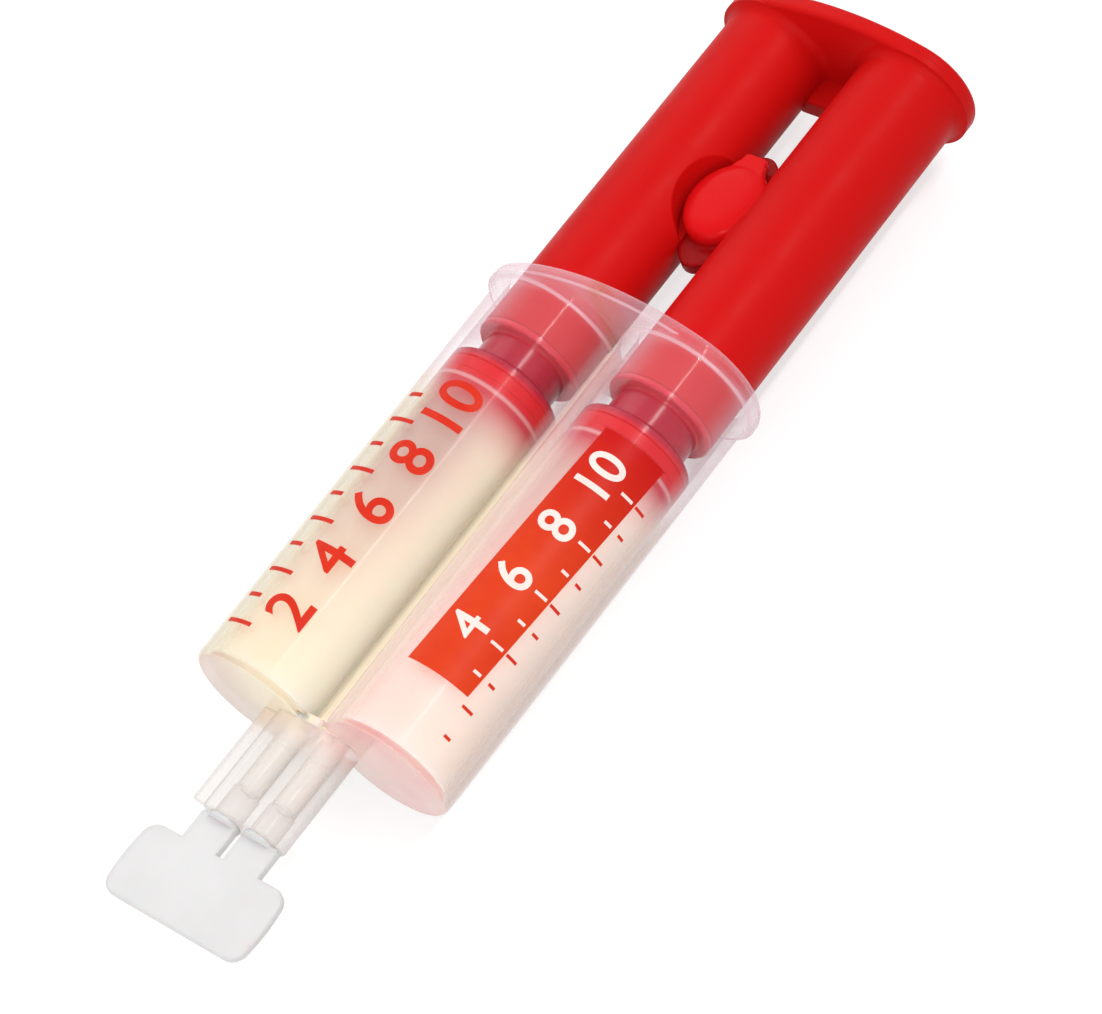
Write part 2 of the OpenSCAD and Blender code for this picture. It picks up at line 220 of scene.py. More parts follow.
def rectangle(a0, a1, b0, b1, r, steps=6):
    """A rectangle with round corners."""
    return (arc(a1 - r, b0 + r, r, -90, 0, steps) + [(a1, b0 + r)]
            + arc(a1 - r, b1 - r, r, 0, 90, steps) + [(a1 - r, b1)]
            + arc(a0 + r, b1 - r, r, 90, 180, steps) + [(a0, b1 - r)]
            + arc(a0 + r, b0 + r, r, 180, 270, steps) + [(a0 + r, b0)])


def inset(outline, d):
    """The outline moved inward by d, along each point's own normal."""
    out = []
    for i, (x, y) in enumerate(outline):
        x0, y0 = outline[i - 1]
        x1, y1 = outline[(i + 1) % len(outline)]
        normal = Vector((y1 - y0, x0 - x1)).normalized()
        out.append((x - normal.x * d, y - normal.y * d))
    return out


def add_object(name, data):
    """A new object in the scene for a mesh, curve, camera or lamp."""
    obj = bpy.data.objects.new(name, data)
    bpy.context.scene.collection.objects.link(obj)
    return obj


def mesh_object(name, bm):
    """Turns a bmesh into an object and frees it."""
    mesh = bpy.data.meshes.new(name)
    bm.to_mesh(mesh)
    bm.free()
    return add_object(name, mesh)


def solid_object(name, bm):
    """The same with every face turned outward."""
    bmesh.ops.recalc_face_normals(bm, faces=bm.faces)
    return mesh_object(name, bm)


def loft(name, rings):
    """A closed solid through rings of equally many points."""
    bm = bmesh.new()
    rows = [[bm.verts.new(p) for p in ring] for ring in rings]
    n = len(rows[0])
    for low, high in zip(rows, rows[1:]):
        for i in range(n):
            bm.faces.new((low[i], low[(i + 1) % n], high[(i + 1) % n], high[i]))
    bm.faces.new(rows[0])
    bm.faces.new(list(reversed(rows[-1])))
    return solid_object(name, bm)


def slab(name, outline, t0, t1, up, round0=0.0, round1=0.0, steps=5):
    """An outline extruded from t0 to t1 with rounded rims; up(a, b, t) gives the point."""
    rings = []
    if round0:
        for a in quarter(steps):
            rings.append((inset(outline, round0 * (1 - math.sin(a))), t0 + round0 * (1 - math.cos(a))))
    else:
        rings.append((outline, t0))
    if round1:
        for a in quarter(steps):
            rings.append((inset(outline, round1 * (1 - math.cos(a))), t1 - round1 * (1 - math.sin(a))))
    else:
        rings.append((outline, t1))
    return loft(name, [[up(a, b, t) for a, b in points] for points, t in rings])


def across(a, b, t):
    """An outline of (y, z) points, extruded along the syringe."""
    return (t, a, b)


def flat(a, b, t):
    """An outline of (x, y) points, extruded upward."""
    return (a, b, t)


def lathe(name, profile, y=0.0, steps=128):
    """A closed solid from (x, r) points, turned about the barrel or rod axis at y."""
    bm = bmesh.new()
    rows = []
    for x, r in profile:
        if r == 0:
            rows.append([bm.verts.new((x, y, 0))])
        else:
            turns = [math.tau * i / steps for i in range(steps)]
            rows.append([bm.verts.new((x, y + r * math.sin(a), r * math.cos(a))) for a in turns])
    for low, high in zip(rows, rows[1:]):
        for i in range(steps):
            j = (i + 1) % steps
            if len(low) == 1:
                bm.faces.new((low[0], high[j], high[i]))
            elif len(high) == 1:
                bm.faces.new((low[i], low[j], high[0]))
            else:
                bm.faces.new((low[i], low[j], high[j], high[i]))
    return solid_object(name, bm)


def block(name, x0, x1, y0, y1, z0, z1, r=0.0):
    """A box whose long edges are rounded by r."""
    outline = rectangle(y0, y1, z0, z1, r) if r else [(y0, z0), (y1, z0), (y1, z1), (y0, z1)]
    return slab(name, outline, x0, x1, across, r, r)


def combine(base, others, operation):
    """Adds or cuts other solids, and removes them."""
    for other in others:
        step = base.modifiers.new("combine", "BOOLEAN")
        step.solver = "EXACT"
        step.operation = operation
        step.object = other
        apply_modifiers(base)
        bpy.data.objects.remove(other)
    return base


def apply_modifiers(obj):
    """Keeps what the modifiers make of a mesh, and removes them."""
    depsgraph = bpy.context.evaluated_depsgraph_get()
    mesh = bpy.data.meshes.new_from_object(obj.evaluated_get(depsgraph))
    old = obj.data
    obj.modifiers.clear()
    obj.data = mesh
    bpy.data.meshes.remove(old)


def melt(obj, voxel, passes):
    """Fuses crossing solids into one skin with soft inner corners."""
    skin = obj.modifiers.new("fuse", "REMESH")
    skin.mode = "VOXEL"
    skin.voxel_size = voxel
    ease = obj.modifiers.new("ease", "SMOOTH")
    ease.factor = 0.5
    ease.iterations = passes
    apply_modifiers(obj)


def finish_piece(obj, body, slot, material, nodes=(), sharp=35.0, shadow=True):
    """Shades a finished mesh, moves it into the frame and ties it to its body.

    Edges sharper than the angle sharp stay hard. Thin print and the clear moulding cast no shadow.
    """
    bm = bmesh.new()
    bm.from_mesh(obj.data)
    bmesh.ops.remove_doubles(bm, verts=bm.verts, dist=0.004)
    bmesh.ops.dissolve_degenerate(bm, edges=bm.edges, dist=0.002)
    bm.to_mesh(obj.data)
    bm.free()
    place(obj.data)
    obj.data.shade_smooth()
    obj.data.set_sharp_from_angle(angle=math.radians(sharp))
    obj.data.materials.clear()
    obj.data.materials.append(material)
    obj.visible_shadow = shadow
    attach(obj, body)
    if nodes:
        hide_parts(*nodes)
    return obj


# Materials

def srgb(r, g, b):
    """A colour written as it is seen, 0 to 255, as a linear colour with alpha."""
    def linear(c):
        c /= 255
        return c / 12.92 if c <= 0.04045 else ((c + 0.055) / 1.055) ** 2.4
    return linear(r), linear(g), linear(b), 1.0


class Look:
    """A node material under construction."""

    def __init__(self, name, roughness, **plain):
        self.material = bpy.data.materials.new(name)
        self.material.use_nodes = True
        self.tree = self.material.node_tree
        self.shader = self.tree.nodes["Principled BSDF"]
        self.shader.inputs["Roughness"].default_value = roughness
        for socket, value in plain.items():
            self.shader.inputs[socket.replace("_", " ")].default_value = value
        self.coordinates = self.node("ShaderNodeTexCoord").outputs["Object"]

    def node(self, kind, **settings):
        """A new node with its plain settings."""
        made = self.tree.nodes.new(kind)
        for key, value in settings.items():
            setattr(made, key, value)
        return made

    def link(self, source, target):
        self.tree.links.new(source, target)

    def noise(self, scale, detail=3.0, stretch=(1, 1, 1)):
        """Noise of a scale per metre; a stretch below 1 draws it out along that axis."""
        mapping = self.node("ShaderNodeMapping")
        mapping.inputs["Scale"].default_value = stretch
        self.link(self.coordinates, mapping.inputs["Vector"])
        made = self.node("ShaderNodeTexNoise")
        made.inputs["Scale"].default_value = scale
        made.inputs["Detail"].default_value = detail
        self.link(mapping.outputs[0], made.inputs["Vector"])
        return made.outputs["Fac"]

    def ramp(self, source, *stops):
        """A colour ramp; each stop is (place, colour)."""
        made = self.node("ShaderNodeValToRGB")
        elements = made.color_ramp.elements
        while len(elements) > 1:
            elements.remove(elements[-1])
        elements[0].position, elements[0].color = stops[0]
        for position, colour in stops[1:]:
            elements.new(position).color = colour
        self.link(source, made.inputs["Fac"])
        return made.outputs["Color"]

    def clouded(self, noise, dark, light, margin=0.3):
        """Two colours that a noise blends."""
        return self.ramp(noise, (margin, dark), (1 - margin, light))

    def between(self, source, low, high, to_low, to_high, clamp=True):
        """Takes low and high to to_low and to_high, with a straight run between them."""
        made = self.node("ShaderNodeMapRange", clamp=clamp)
        for key, value in (("From Min", low), ("From Max", high), ("To Min", to_low), ("To Max", to_high)):
            made.inputs[key].default_value = value
        self.link(source, made.inputs["Value"])
        return made.outputs["Result"]

    def bump(self, source, distance, edge=0.0):
        """Fine relief over edges that are rounded by the radius edge, both in millimetres."""
        made = self.node("ShaderNodeBump")
        made.inputs["Distance"].default_value = distance * MM
        self.link(source, made.inputs["Height"])
        if edge:
            bevel = self.node("ShaderNodeBevel", samples=4)
            bevel.inputs["Radius"].default_value = edge * MM
            self.link(bevel.outputs[0], made.inputs["Normal"])
        self.link(made.outputs[0], self.shader.inputs["Normal"])

    def colour(self, source):
        """Ties a socket to the surface's colour."""
        self.link(source, self.shader.inputs["Base Color"])

    def axis_of(self, vector, axis):
        """One axis of a vector socket."""
        parts = self.node("ShaderNodeSeparateXYZ")
        self.link(vector, parts.inputs[0])
        return parts.outputs[axis]

    def place(self, axis, low, high):
        """0 to 1 between two places of the drawing along an axis."""
        start = {"X": FRONT_X, "Y": 0, "Z": AXIS_Z}[axis]
        return self.between(self.axis_of(self.coordinates, axis), start + low * MM, start + high * MM, 0, 1)

    def across(self):
        """The distance from the middle plane between the barrels, in the drawing's millimetres."""
        made = self.node("ShaderNodeMath", operation="ABSOLUTE")
        self.link(self.axis_of(self.coordinates, "Y"), made.inputs[0])
        return self.between(made.outputs[0], 0, MM, 0, 1, clamp=False)

    def edge_on(self, blend):
        """0 where the surface is seen face on, 1 where it is seen edge on, for haze and see-through."""
        weight = self.node("ShaderNodeLayerWeight")
        weight.inputs["Blend"].default_value = blend
        return weight.outputs["Facing"]

    def mix(self, share, first, second):
        """Blends two colours or two numbers, each a socket or a value."""
        values = [v for v in (first, second) if not isinstance(v, bpy.types.NodeSocket)]
        number = any(isinstance(v, (int, float)) for v in values) or (not values and first.type == "VALUE")
        made = self.node("ShaderNodeMix", data_type="FLOAT" if number else "RGBA")
        sockets = {s.identifier: s for s in made.inputs}
        kind = "Float" if number else "Color"
        self.link(share, sockets["Factor_Float"])
        for letter, value in (("A", first), ("B", second)):
            target = sockets[letter + "_" + kind]
            if isinstance(value, bpy.types.NodeSocket):
                self.link(value, target)
            else:
                target.default_value = value
        outputs = {s.identifier: s for s in made.outputs}
        return outputs["Result_" + kind]

    def times(self, first, second, *more):
        """The product of two or more sockets."""
        made = self.node("ShaderNodeMath", operation="MULTIPLY")
        self.link(first, made.inputs[0])
        self.link(second, made.inputs[1])
        return self.times(made.outputs[0], *more) if more else made.outputs[0]


def red_moulding(name, light, dark, roughness=0.42, low=None):
    """Satin red plastic with faint flow clouds and a fine grain; low is a painted shade, the darker colour it
    takes down in a recess.
    """
    look = Look(name, roughness, Specular_IOR_Level=0.07)
    clouds = look.clouded(look.noise(38, 2, (0.35, 1, 1)), dark, light)
    # Painted shade: below the knob's foot the stopper turns to the low colour, a dark red down in its seat.
    if low:
        clouds = look.mix(look.place("Z", BASE_HALF, BASE_HALF + 1.2), low, clouds)
    look.colour(clouds)
    grain = look.between(look.noise(210, 4), 0.3, 0.7, roughness - 0.05, roughness + 0.07)
    look.link(grain, look.shader.inputs["Roughness"])
    look.bump(look.noise(2600, 2), 0.01, 0.35)
    return look.material


def piston_moulding():
    """Red that is bright at the front and painted deep on the lip and the waist, as shade in the groove
    behind the sealing lip.
    """
    look = Look("piston_red", 0.2, Specular_IOR_Level=0.3)
    guide_red, front_red = srgb(222, 26, 48), srgb(232, 16, 20)
    # Painted shade: a deeper, clouded crimson on the waist and the rear of the lip, in the groove behind the
    # sealing lip.
    deep = look.mix(look.noise(90), srgb(200, 18, 54), srgb(168, 10, 42))
    shade = look.mix(look.place("X", GUIDE_FRONT - 0.2, GUIDE_FRONT + 1.0), guide_red, deep)
    look.colour(look.mix(look.place("X", LIP_FRONT - LIP_W * 0.6, LIP_FRONT), shade, front_red))
    look.bump(look.noise(900, 2), 0.008, 0.2)
    return look.material


# How much a see-through wall hides. The first two numbers say how far edge on its haze starts and is
# full, and the last two are its least and its most.
ROD_HAZE = (0.25, 0.95, 0.065, 0.5)
WAIST_HAZE = (0.4, 0.95, 0.02, 0.5)
FILLED_HAZE = (0.4, 0.76, 0.04, 0.95)
NOZZLE_HAZE = (0.2, 0.95, 0.3, 0.62)
FLANGE_HAZE = (0.2, 0.95, 0.1, 0.6)
TAB_HAZE = (0.1, 0.9, 0.72, 0.95)
ROOT_HAZE, WEB_HAZE, FILLET_HIGHLIGHT, END_HAZE = 0.6, 0.8, 0.6, 0.92
FILL_START, FILL_FULL = COLUMN_REAR + 1.0, COLUMN_REAR + 8.0


def clear_moulding():
    """See-through polypropylene, hazy where it is seen edge on.

    Its curved wall bends the view of what is behind it, so the paste seems to fill it: along the filled
    length the wall takes the paste's colour toward its edges. Its flat ends are painted darker, as shade,
    with painted light and reflection on them.
    """
    look = Look("clear_polypropylene", 0.09, IOR=1.49, Specular_IOR_Level=0.7)
    forward = look.axis_of(look.node("ShaderNodeNewGeometry").outputs["Normal"], "X")
    inside = look.place("X", 0.25, -0.05)
    filled = look.times(look.place("X", FILL_START, FILL_FULL), inside)
    zones = {
        "right": look.place("Y", -0.4, 0.4),
        "inside": inside,
        "filled": filled,
        "nozzle": look.place("X", -0.05, 0.25),
        "bar": look.between(look.across(), WEB_HALF, WEB_HALF + 1.0, 1, 0),
        "ends": look.times(look.between(forward, 0.75, 0.95, 0, 1), filled),
    }
    look.colour(clear_colour(look, zones))
    look.link(clear_haze(look, zones, forward), look.shader.inputs["Alpha"])
    return look.material


def clear_colour(look, zones):
    """The clear moulding's own tint, and the paste's where the wall seems filled with it."""
    cream, rose = srgb(246, 234, 206), srgb(252, 228, 217)
    wall = look.mix(zones["right"], cream, rose)
    open_wall = look.clouded(look.noise(55, 3, (0.4, 1, 1)), srgb(238, 200, 212), srgb(246, 216, 226))
    wall = look.mix(zones["filled"], open_wall, wall)
    rearward = look.place("X", FILL_FULL, COLUMN_REAR)
    # Painted shade: a darker beige along the web, in the valley between the barrels, over the rear length.
    wall = look.mix(look.times(zones["bar"], rearward), wall, srgb(224, 190, 176))
    root = look.mix(zones["right"], srgb(240, 220, 200), srgb(238, 208, 202))
    nozzle = look.mix(look.place("X", 0.5, 3.5), root, srgb(224, 215, 210))
    wall = look.mix(zones["nozzle"], wall, nozzle)
    # Painted shade on the flat end faces of the filled barrels: the left end darkens toward its outer side.
    left_end_painted_shade = look.mix(look.place("Y", -16.5, -9.5), srgb(232, 200, 184), srgb(255, 242, 214))
    # Painted reflection: darker pink blotches on the right end face.
    right_end_painted_reflection = look.clouded(look.noise(110, 1), srgb(248, 184, 182), srgb(250, 216, 204))
    return look.mix(zones["ends"], wall, look.mix(zones["right"], left_end_painted_shade, right_end_painted_reflection))


def clear_haze(look, zones, forward):
    """How much the clear moulding hides; forward is how far a face looks toward the nozzle."""
    edge_on = look.edge_on(0.5)
    over_rod = look.between(edge_on, *ROD_HAZE)
    over_waist = look.between(edge_on, *WAIST_HAZE)
    open_wall = look.mix(look.place("X", GUIDE_FRONT, GUIDE_FRONT + 1.5), over_rod, over_waist)
    haze = look.mix(zones["filled"], open_wall, look.between(edge_on, *FILLED_HAZE))
    haze = look.mix(zones["nozzle"], haze, look.between(edge_on, *NOZZLE_HAZE))
    root = look.times(look.place("X", -0.3, 0.5), look.place("X", 4.5, 1.0))
    haze = look.mix(root, haze, ROOT_HAZE)
    flange = look.place("X", BARREL_REAR + 0.6, BARREL_REAR)
    haze = look.mix(flange, haze, look.between(edge_on, *FLANGE_HAZE))
    web = look.times(zones["bar"], look.place("X", BARREL_REAR, BARREL_REAR + 1.0), zones["inside"])
    haze = look.mix(web, haze, WEB_HAZE)
    # Painted highlight: the fillet between each barrel and the flange is made more opaque, so a pale arc
    # shows over the red behind it.
    fillet = look.times(look.place("X", BARREL_REAR - 1.0, BARREL_REAR - 0.8),
                        look.place("X", BARREL_REAR + FLANGE_FILLET, BARREL_REAR + FLANGE_FILLET * 0.6),
                        look.between(forward, 0.4, 0.6, 0, 1),
                        look.between(forward, 0.95, 0.8, 0, 1))
    haze = look.mix(fillet, haze, FILLET_HIGHLIGHT)
    return look.mix(zones["ends"], haze, END_HAZE)


def milky_moulding():
    """Thin milky polypropylene that lets a little through."""
    look = Look("milky_polypropylene", 0.28, IOR=1.49, Subsurface_Weight=0.2, Subsurface_Scale=2 * MM)
    look.colour(look.clouded(look.noise(120, 3), srgb(228, 227, 227), srgb(235, 234, 234)))
    look.link(look.between(look.edge_on(0.4), *TAB_HAZE), look.shader.inputs["Alpha"])
    look.bump(look.noise(900, 3), 0.015, 0.3)
    return look.material


# Places along a column, as shares of its length from the front to the piston's nose
PASTE_DARKENS = (0.15, 0.85)
PASTE_THINS = (0.78, 0.93)
PASTE_REFLECTS_RED = (0.8, 0.955)
GLINT_RISES, GLINT_FALLS, GLINT_SHARE = (0.966, 0.971), (0.982, 0.977), 0.4
RING_RISES = (0.982, 0.987)


def paste(name, pale, deep, tint, rear, glow=None):
    """A smooth translucent paste, clouded along its length and darker toward the rear.

    Near the piston it takes a painted reflection of the piston's red in tint's colour, with a painted glint
    and a bright ring. Painted light keeps it pale where the two barrels meet, against the shade that falls
    there, and, in glow's colour, along its outer side.
    """
    look = Look(name, 0.35, Specular_IOR_Level=0.2, Subsurface_Scale=8 * MM,
                Subsurface_Radius=(1.0, 0.8, 0.65))
    painted_valley_light, glint_colour, ring_red = srgb(255, 244, 230), srgb(250, 214, 212), srgb(222, 16, 26)
    along = look.node("ShaderNodeAttribute", attribute_name="along").outputs["Fac"]
    shade = look.clouded(look.noise(60, 3, (0.3, 1, 1)), deep, pale, 0.35)
    shade = look.mix(look.between(along, *PASTE_DARKENS, 0, 1), shade, rear)
    # Painted light: paler toward the middle plane, where the two barrels shade each other.
    shade = look.mix(look.between(look.across(), 7.0, 3.0, 0, 0.9), shade, painted_valley_light)
    # Painted light: paler along the right barrel's outer side, in glow's colour.
    if glow:
        shade = look.mix(look.place("Y", 14.0, 18.5), shade, glow)
    look.link(look.between(along, *PASTE_THINS, 1, 0), look.shader.inputs["Subsurface Weight"])
    # Painted reflection: toward the piston the paste takes the piston's red, in tint's colour.
    near = look.between(along, *PASTE_REFLECTS_RED, 0, 1)
    shade = look.mix(look.times(near, near), shade, tint)
    glint = look.times(look.between(along, *GLINT_RISES, 0, GLINT_SHARE),
                       look.between(along, *GLINT_FALLS, 0, 1))
    shade = look.mix(glint, shade, glint_colour)
    look.colour(look.mix(look.between(along, *RING_RISES, 0, 1), shade, ring_red))
    return look.material


def ink(name, light, dark, rear=None):
    """Printing ink; the label's red deepens toward rear."""
    look = Look(name, 0.4, Specular_IOR_Level=0.14)
    shade = look.clouded(look.noise(260, 3), dark, light)
    if rear:
        shade = look.mix(look.place("X", LABEL_MIDDLE, LABEL_REAR), shade, rear)
    look.colour(shade)
    look.bump(look.noise(2200, 3), 0.006)
    return look.material


RED = red_moulding("red_polypropylene", srgb(214, 20, 20), srgb(206, 17, 17))
STOPPER_RED = red_moulding("stopper_red", srgb(226, 21, 25), srgb(218, 17, 22), 0.26, srgb(150, 6, 9))
PISTON_RED = piston_moulding()
CLEAR = clear_moulding()
MILKY = milky_moulding()
RESIN = paste("resin_paste", srgb(242, 231, 211), srgb(236, 223, 203),
              tint=srgb(206, 60, 74), rear=srgb(200, 168, 164))
HARDENER = paste("hardener_paste", srgb(252, 223, 215), srgb(249, 216, 209),
                 tint=srgb(206, 62, 78), rear=srgb(216, 180, 174), glow=srgb(254, 232, 223))
RESIN_THREAD = paste("resin_thread_paste", srgb(238, 226, 208), srgb(232, 218, 200),
                     tint=srgb(222, 60, 66), rear=srgb(232, 218, 200))
HARDENER_THREAD = paste("hardener_thread_paste", srgb(228, 208, 206), srgb(224, 202, 200),
                        tint=srgb(222, 62, 70), rear=srgb(224, 202, 200))
LABEL_RED = ink("label_red", srgb(224, 66, 26), srgb(218, 57, 22), rear=srgb(200, 15, 13))
PRINT_RED = ink("print_red", srgb(222, 52, 26), srgb(212, 42, 22))
PRINT_WHITE = ink("print_white", srgb(250, 234, 226), srgb(244, 222, 214))
FLUIDS = {LEFT: ("resin", RESIN, RESIN_THREAD), RIGHT: ("hardener", HARDENER, HARDENER_THREAD)}


# Barrel body

def barrel_outside(side):
    """The outside of one barrel, with its rounded front edge and a fillet into the flange."""
    fillet_x = BARREL_REAR + FLANGE_FILLET
    sunk_x = BARREL_REAR - FLANGE_SUNK
    profile = [(0, 0)]
    profile += [(y, x) for x, y in arc(FRONT_R - END_ROUND, -END_ROUND, END_ROUND, 90, 0, 8)]
    profile += [(-END_ROUND, FRONT_R), (fillet_x, REAR_R)]
    profile += flare(fillet_x, REAR_R, FLANGE_FILLET)
    profile += [(sunk_x, REAR_R + FLANGE_FILLET), (sunk_x, 0)]
    return lathe("outside", profile, side * BARREL_Y)


def barrel_bore(side):
    """What is hollow in one barrel, with a soft inner corner and a lead-in at the flange."""
    rear_x = FLANGE_REAR - CUT_PAST
    wide = BORE_R + BORE_LEAD
    profile = [(rear_x, 0), (rear_x, wide), (FLANGE_REAR, wide), (FLANGE_REAR + BORE_LEAD, BORE_R)]
    corner_x, corner_r = -END_WALL - BORE_CORNER, BORE_R - BORE_CORNER
    profile += [(corner_x + BORE_CORNER * math.sin(a), corner_r + BORE_CORNER * math.cos(a))
                for a in quarter(5)]
    profile.append((-END_WALL, 0))
    return lathe("bore", profile, side * BARREL_Y)


def channel(side, shrink=0.0, end=None):
    """The hollow of one outlet channel: bore, wider mouth and the passage from the barrel.

    With an end it is the thread of paste that stands in it instead, smaller by shrink.
    """
    step = NOZZLE_END - MOUTH_DEPTH
    open_x = NOZZLE_END + CUT_PAST
    back = CHANNEL_BACK + shrink
    r = CHANNEL_R - shrink
    profile = [(back, 0), (back, r)]
    if end is None:
        profile += [(step, r), (step, MOUTH_R), (open_x, MOUTH_R), (open_x, 0)]
    else:
        profile += [(end - THREAD_TIP, r), (end, r * 0.6), (end + THREAD_POINT, 0)]
    bore = lathe("channel", profile, side * CHANNEL_Y, 64)
    outline = [(side * PASSAGE_Y + a, b) for a, b in ellipse(PASSAGE_W - shrink, PASSAGE_H - shrink, 32)]
    passage = slab("passage", outline, -END_WALL - PASSAGE_BACK + shrink, CHANNEL_BACK + PASSAGE_FRONT,
                   across)
    return [bore, passage]


def barrel_shell():
    """The clear moulding: two barrels, web, flange and nozzle in one skin."""
    flange = slab("barrel_shell", bowed_oval(FLANGE_W, FLANGE_H, FLANGE_END_R), FLANGE_REAR, BARREL_REAR,
                  across, FLANGE_ROUND, FLANGE_ROUND)
    parts = [barrel_outside(side) for side in (LEFT, RIGHT)]
    parts.append(block("web", BARREL_REAR - WEB_SUNK, -WEB_SHORT, -BARREL_Y / 4, BARREL_Y / 4,
                       -WEB_HALF, WEB_HALF))
    parts.append(slab("nozzle", stadium(NOZZLE_W, NOZZLE_H), -NOZZLE_ROOT, NOZZLE_END,
                      across, 0, NOZZLE_ROUND))
    parts.append(block("key", -NOZZLE_ROOT, NOZZLE_END - KEY_SHORT, -NOZZLE_W - KEY_OUT, -NOZZLE_W + KEY_SUNK,
                       -KEY_HALF, KEY_HALF, KEY_ROUND))
    combine(flange, parts, "UNION")
    cuts = [barrel_bore(side) for side in (LEFT, RIGHT)]
    for side in (LEFT, RIGHT):
        cuts += channel(side)
    combine(flange, cuts, "DIFFERENCE")
    nodes = ("left_barrel", "right_barrel", "barrel_web", "finger_flange", "outlet_nozzle")
    return finish_piece(flange, "barrel", "clear_plastic", CLEAR, nodes, shadow=False)


def mark_along(obj, x0, x1):
    """Keeps each point's place between x0 and x1, so that a colour follows the shape when it flattens."""
    values = obj.data.attributes.new("along", "FLOAT", "POINT")
    for vertex, value in zip(obj.data.vertices, values.data):
        value.value = (vertex.co.x - x0) / (x1 - x0)


def fluid(side):
    """The paste in one barrel: the column, the ring round the piston's nose and the thread in the channel."""
    label, look, thread_look = FLUIDS[side]
    y = side * BARREL_Y
    r = BORE_R - WALL_GAP
    rear = PISTON_NOSE + WALL_GAP
    start = COLUMN_FRONT - BORE_CORNER
    rings = 48
    profile = [(COLUMN_FRONT, 0)]
    profile += [(start + BORE_CORNER * math.cos(a), r - BORE_CORNER + BORE_CORNER * math.sin(a))
                for a in quarter(5)]
    profile += [(start + (rear - start) * i / rings, r) for i in range(1, rings + 1)]
    profile.append((rear, 0))
    column = lathe(label + "_column", profile, y)
    mark_along(column, COLUMN_FRONT, rear)
    finish_piece(column, "barrel", label, look, (label + "_column",))
    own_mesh(column)

    nose, foot = rear - WALL_GAP, NOSE_R + WALL_GAP
    lip, lip_low = LIP_FRONT + WALL_GAP, LIP_R - LIP_EDGE
    dish = LIP_FRONT - DISH + WALL_GAP
    collar = lathe(label + "_collar", [
        (nose, foot), (nose, r), (lip, r), (lip, lip_low), (dish, lip_low - DISH / 2),
        (dish, NOSE_R + NOSE_FLARE + WALL_GAP), (nose, foot)], y)
    mark_along(collar, COLUMN_FRONT, rear)
    finish_piece(collar, "plunger", label, look)

    thread, passage = channel(side, WALL_GAP, NOZZLE_END - MOUTH_DEPTH)
    combine(thread, [passage], "UNION")
    thread.name = label + "_thread"
    ahead = COLUMN_FRONT + 500      # so far ahead of the column that it takes none of the piston's red
    mark_along(thread, ahead, ahead + 1)
    finish_piece(thread, "barrel", label, thread_look, (label + "_thread",))


# Printing

def on_barrel(side, x, angle, lift):
    """A point on a drafted barrel, at an angle in degrees from straight up toward +Y."""
    r = FRONT_R + (REAR_R - FRONT_R) * x / BARREL_REAR + lift
    a = math.radians(angle)
    return (x, side * BARREL_Y + r * math.sin(a), r * math.cos(a))


def slant(x, skew):
    """How far a slanted label has turned round the barrel at x, in degrees."""
    return math.degrees(math.tan(math.radians(skew)) * (LABEL_MIDDLE - x) / FRONT_R)


def film(name, faces, points):
    """A thin printed sheet from points that already lie on a barrel, with a closed back."""
    bm = bmesh.new()
    verts = [bm.verts.new(p) for p in points]
    for face in faces:
        bm.faces.new([verts[i] for i in face])
    bmesh.ops.remove_doubles(bm, verts=bm.verts, dist=0.01)
    obj = mesh_object(name, bm)
    back = obj.modifiers.new("back", "SOLIDIFY")
    back.thickness = FILM_THICKNESS
    back.offset = -1
    apply_modifiers(obj)
    return obj


def label_sheet():
    """The label's sheet, a little slanted round the right barrel."""
    columns, rows = 40, 24
    points = []
    for i in range(columns + 1):
        x = LABEL_REAR + LABEL_LENGTH * i / columns
        start = LABEL_ANGLE - LABEL_HALF_ANGLE + slant(x, LABEL_SKEW)
        for j in range(rows + 1):
            points.append(on_barrel(RIGHT, x, start + 2 * LABEL_HALF_ANGLE * j / rows, FILM_LIFT))
    faces = []
    for i in range(columns):
        for j in range(rows):
            corner = i * (rows + 1) + j
            faces.append((corner, corner + 1, corner + rows + 2, corner + rows + 1))
    return film("label_film", faces, points)


def widen(bm, d):
    """Moves the rims of a flat mesh outward by d."""
    moves = []
    for vert in bm.verts:
        outward = []
        for edge in vert.link_edges:
            if len(edge.link_faces) > 1:
                continue
            start, end = (v.co for v in edge.verts)
            out = (end - start).cross(Vector((0, 0, 1))).normalized()
            inner = edge.link_faces[0].calc_center_median() - (start + end) / 2
            outward.append(-out if out.dot(inner) > 0 else out)
        if len(outward) == 2:
            one, other = outward
            moves.append((vert, (one + other) * d / max(1 + one.dot(other), 0.5)))
    for vert, move in moves:
        vert.co += move


def numeral_mesh(text, height):
    """The outline of a plain bold numeral, filled, centred on its middle and cut into narrow rows."""
    curve = bpy.data.curves.new("numeral", "FONT")
    curve.body = text
    curve.size = height * FONT_SIZE
    curve.align_x = "CENTER"
    curve.align_y = "CENTER"
    curve.resolution_u = 6
    obj = add_object("numeral", curve)
    depsgraph = bpy.context.evaluated_depsgraph_get()
    mesh = bpy.data.meshes.new_from_object(obj.evaluated_get(depsgraph))
    bpy.data.objects.remove(obj)
    bm = bmesh.new()
    bm.from_mesh(mesh)
    widen(bm, height * NUMERAL_BOLD)
    rows, past = 16, 1.1
    for i in range(1, rows):
        where = height * (i / rows - 0.5) * past
        everything = list(bm.verts) + list(bm.edges) + list(bm.faces)
        bmesh.ops.bisect_plane(bm, geom=everything, plane_co=(0, where, 0), plane_no=(0, 1, 0))
    points = [v.co.copy() for v in bm.verts]
    faces = [[v.index for v in f.verts] for f in bm.faces]
    bm.free()
    return points, faces


